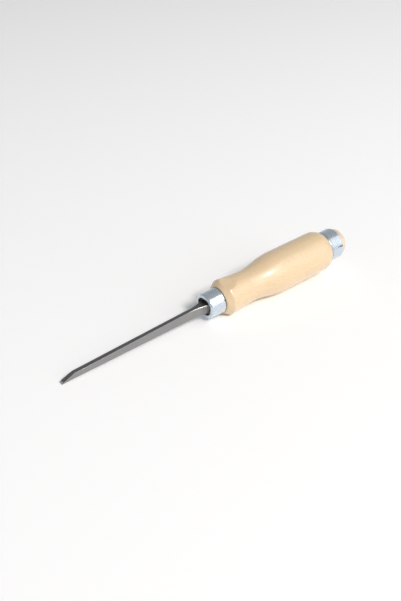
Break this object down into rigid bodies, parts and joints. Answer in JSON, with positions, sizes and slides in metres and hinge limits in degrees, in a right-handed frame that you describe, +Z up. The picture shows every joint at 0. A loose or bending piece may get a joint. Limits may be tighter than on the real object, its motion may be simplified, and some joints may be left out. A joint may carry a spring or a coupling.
{
  "type": "wood chisel",
  "caption": "Narrow mortise-pattern wood chisel with a deep tapering steel blade, a plated front ferrule, a pale turned wooden handle with thumb scoops and a plated striking hoop",
  "frame": {"origin": "centre of the tool's bounding box, on the surface it lies on: the blade's cutting edge and the handle's belly both touch that surface", "axes": "+X runs along the tool from the cutting edge towards the striking end, +Y across the blade's width, +Z up, away from the flat back of the blade"},
  "size_m": [0.2666, 0.0334, 0.0359],
  "materials": {
    "blade_steel": "ground tool steel, darker on the top face, fine grinding lines across the bevel",
    "zinc_plate": "bright bluish zinc plate on rolled steel strip",
    "lacquered_beech": "pale close-grained hardwood under a clear satin lacquer"
  },
  "bodies": {
    "root": {"blade": "blade_steel", "front_ferrule": "zinc_plate", "handle": "lacquered_beech", "striking_hoop": "zinc_plate"}
  },
  "joints": []
}
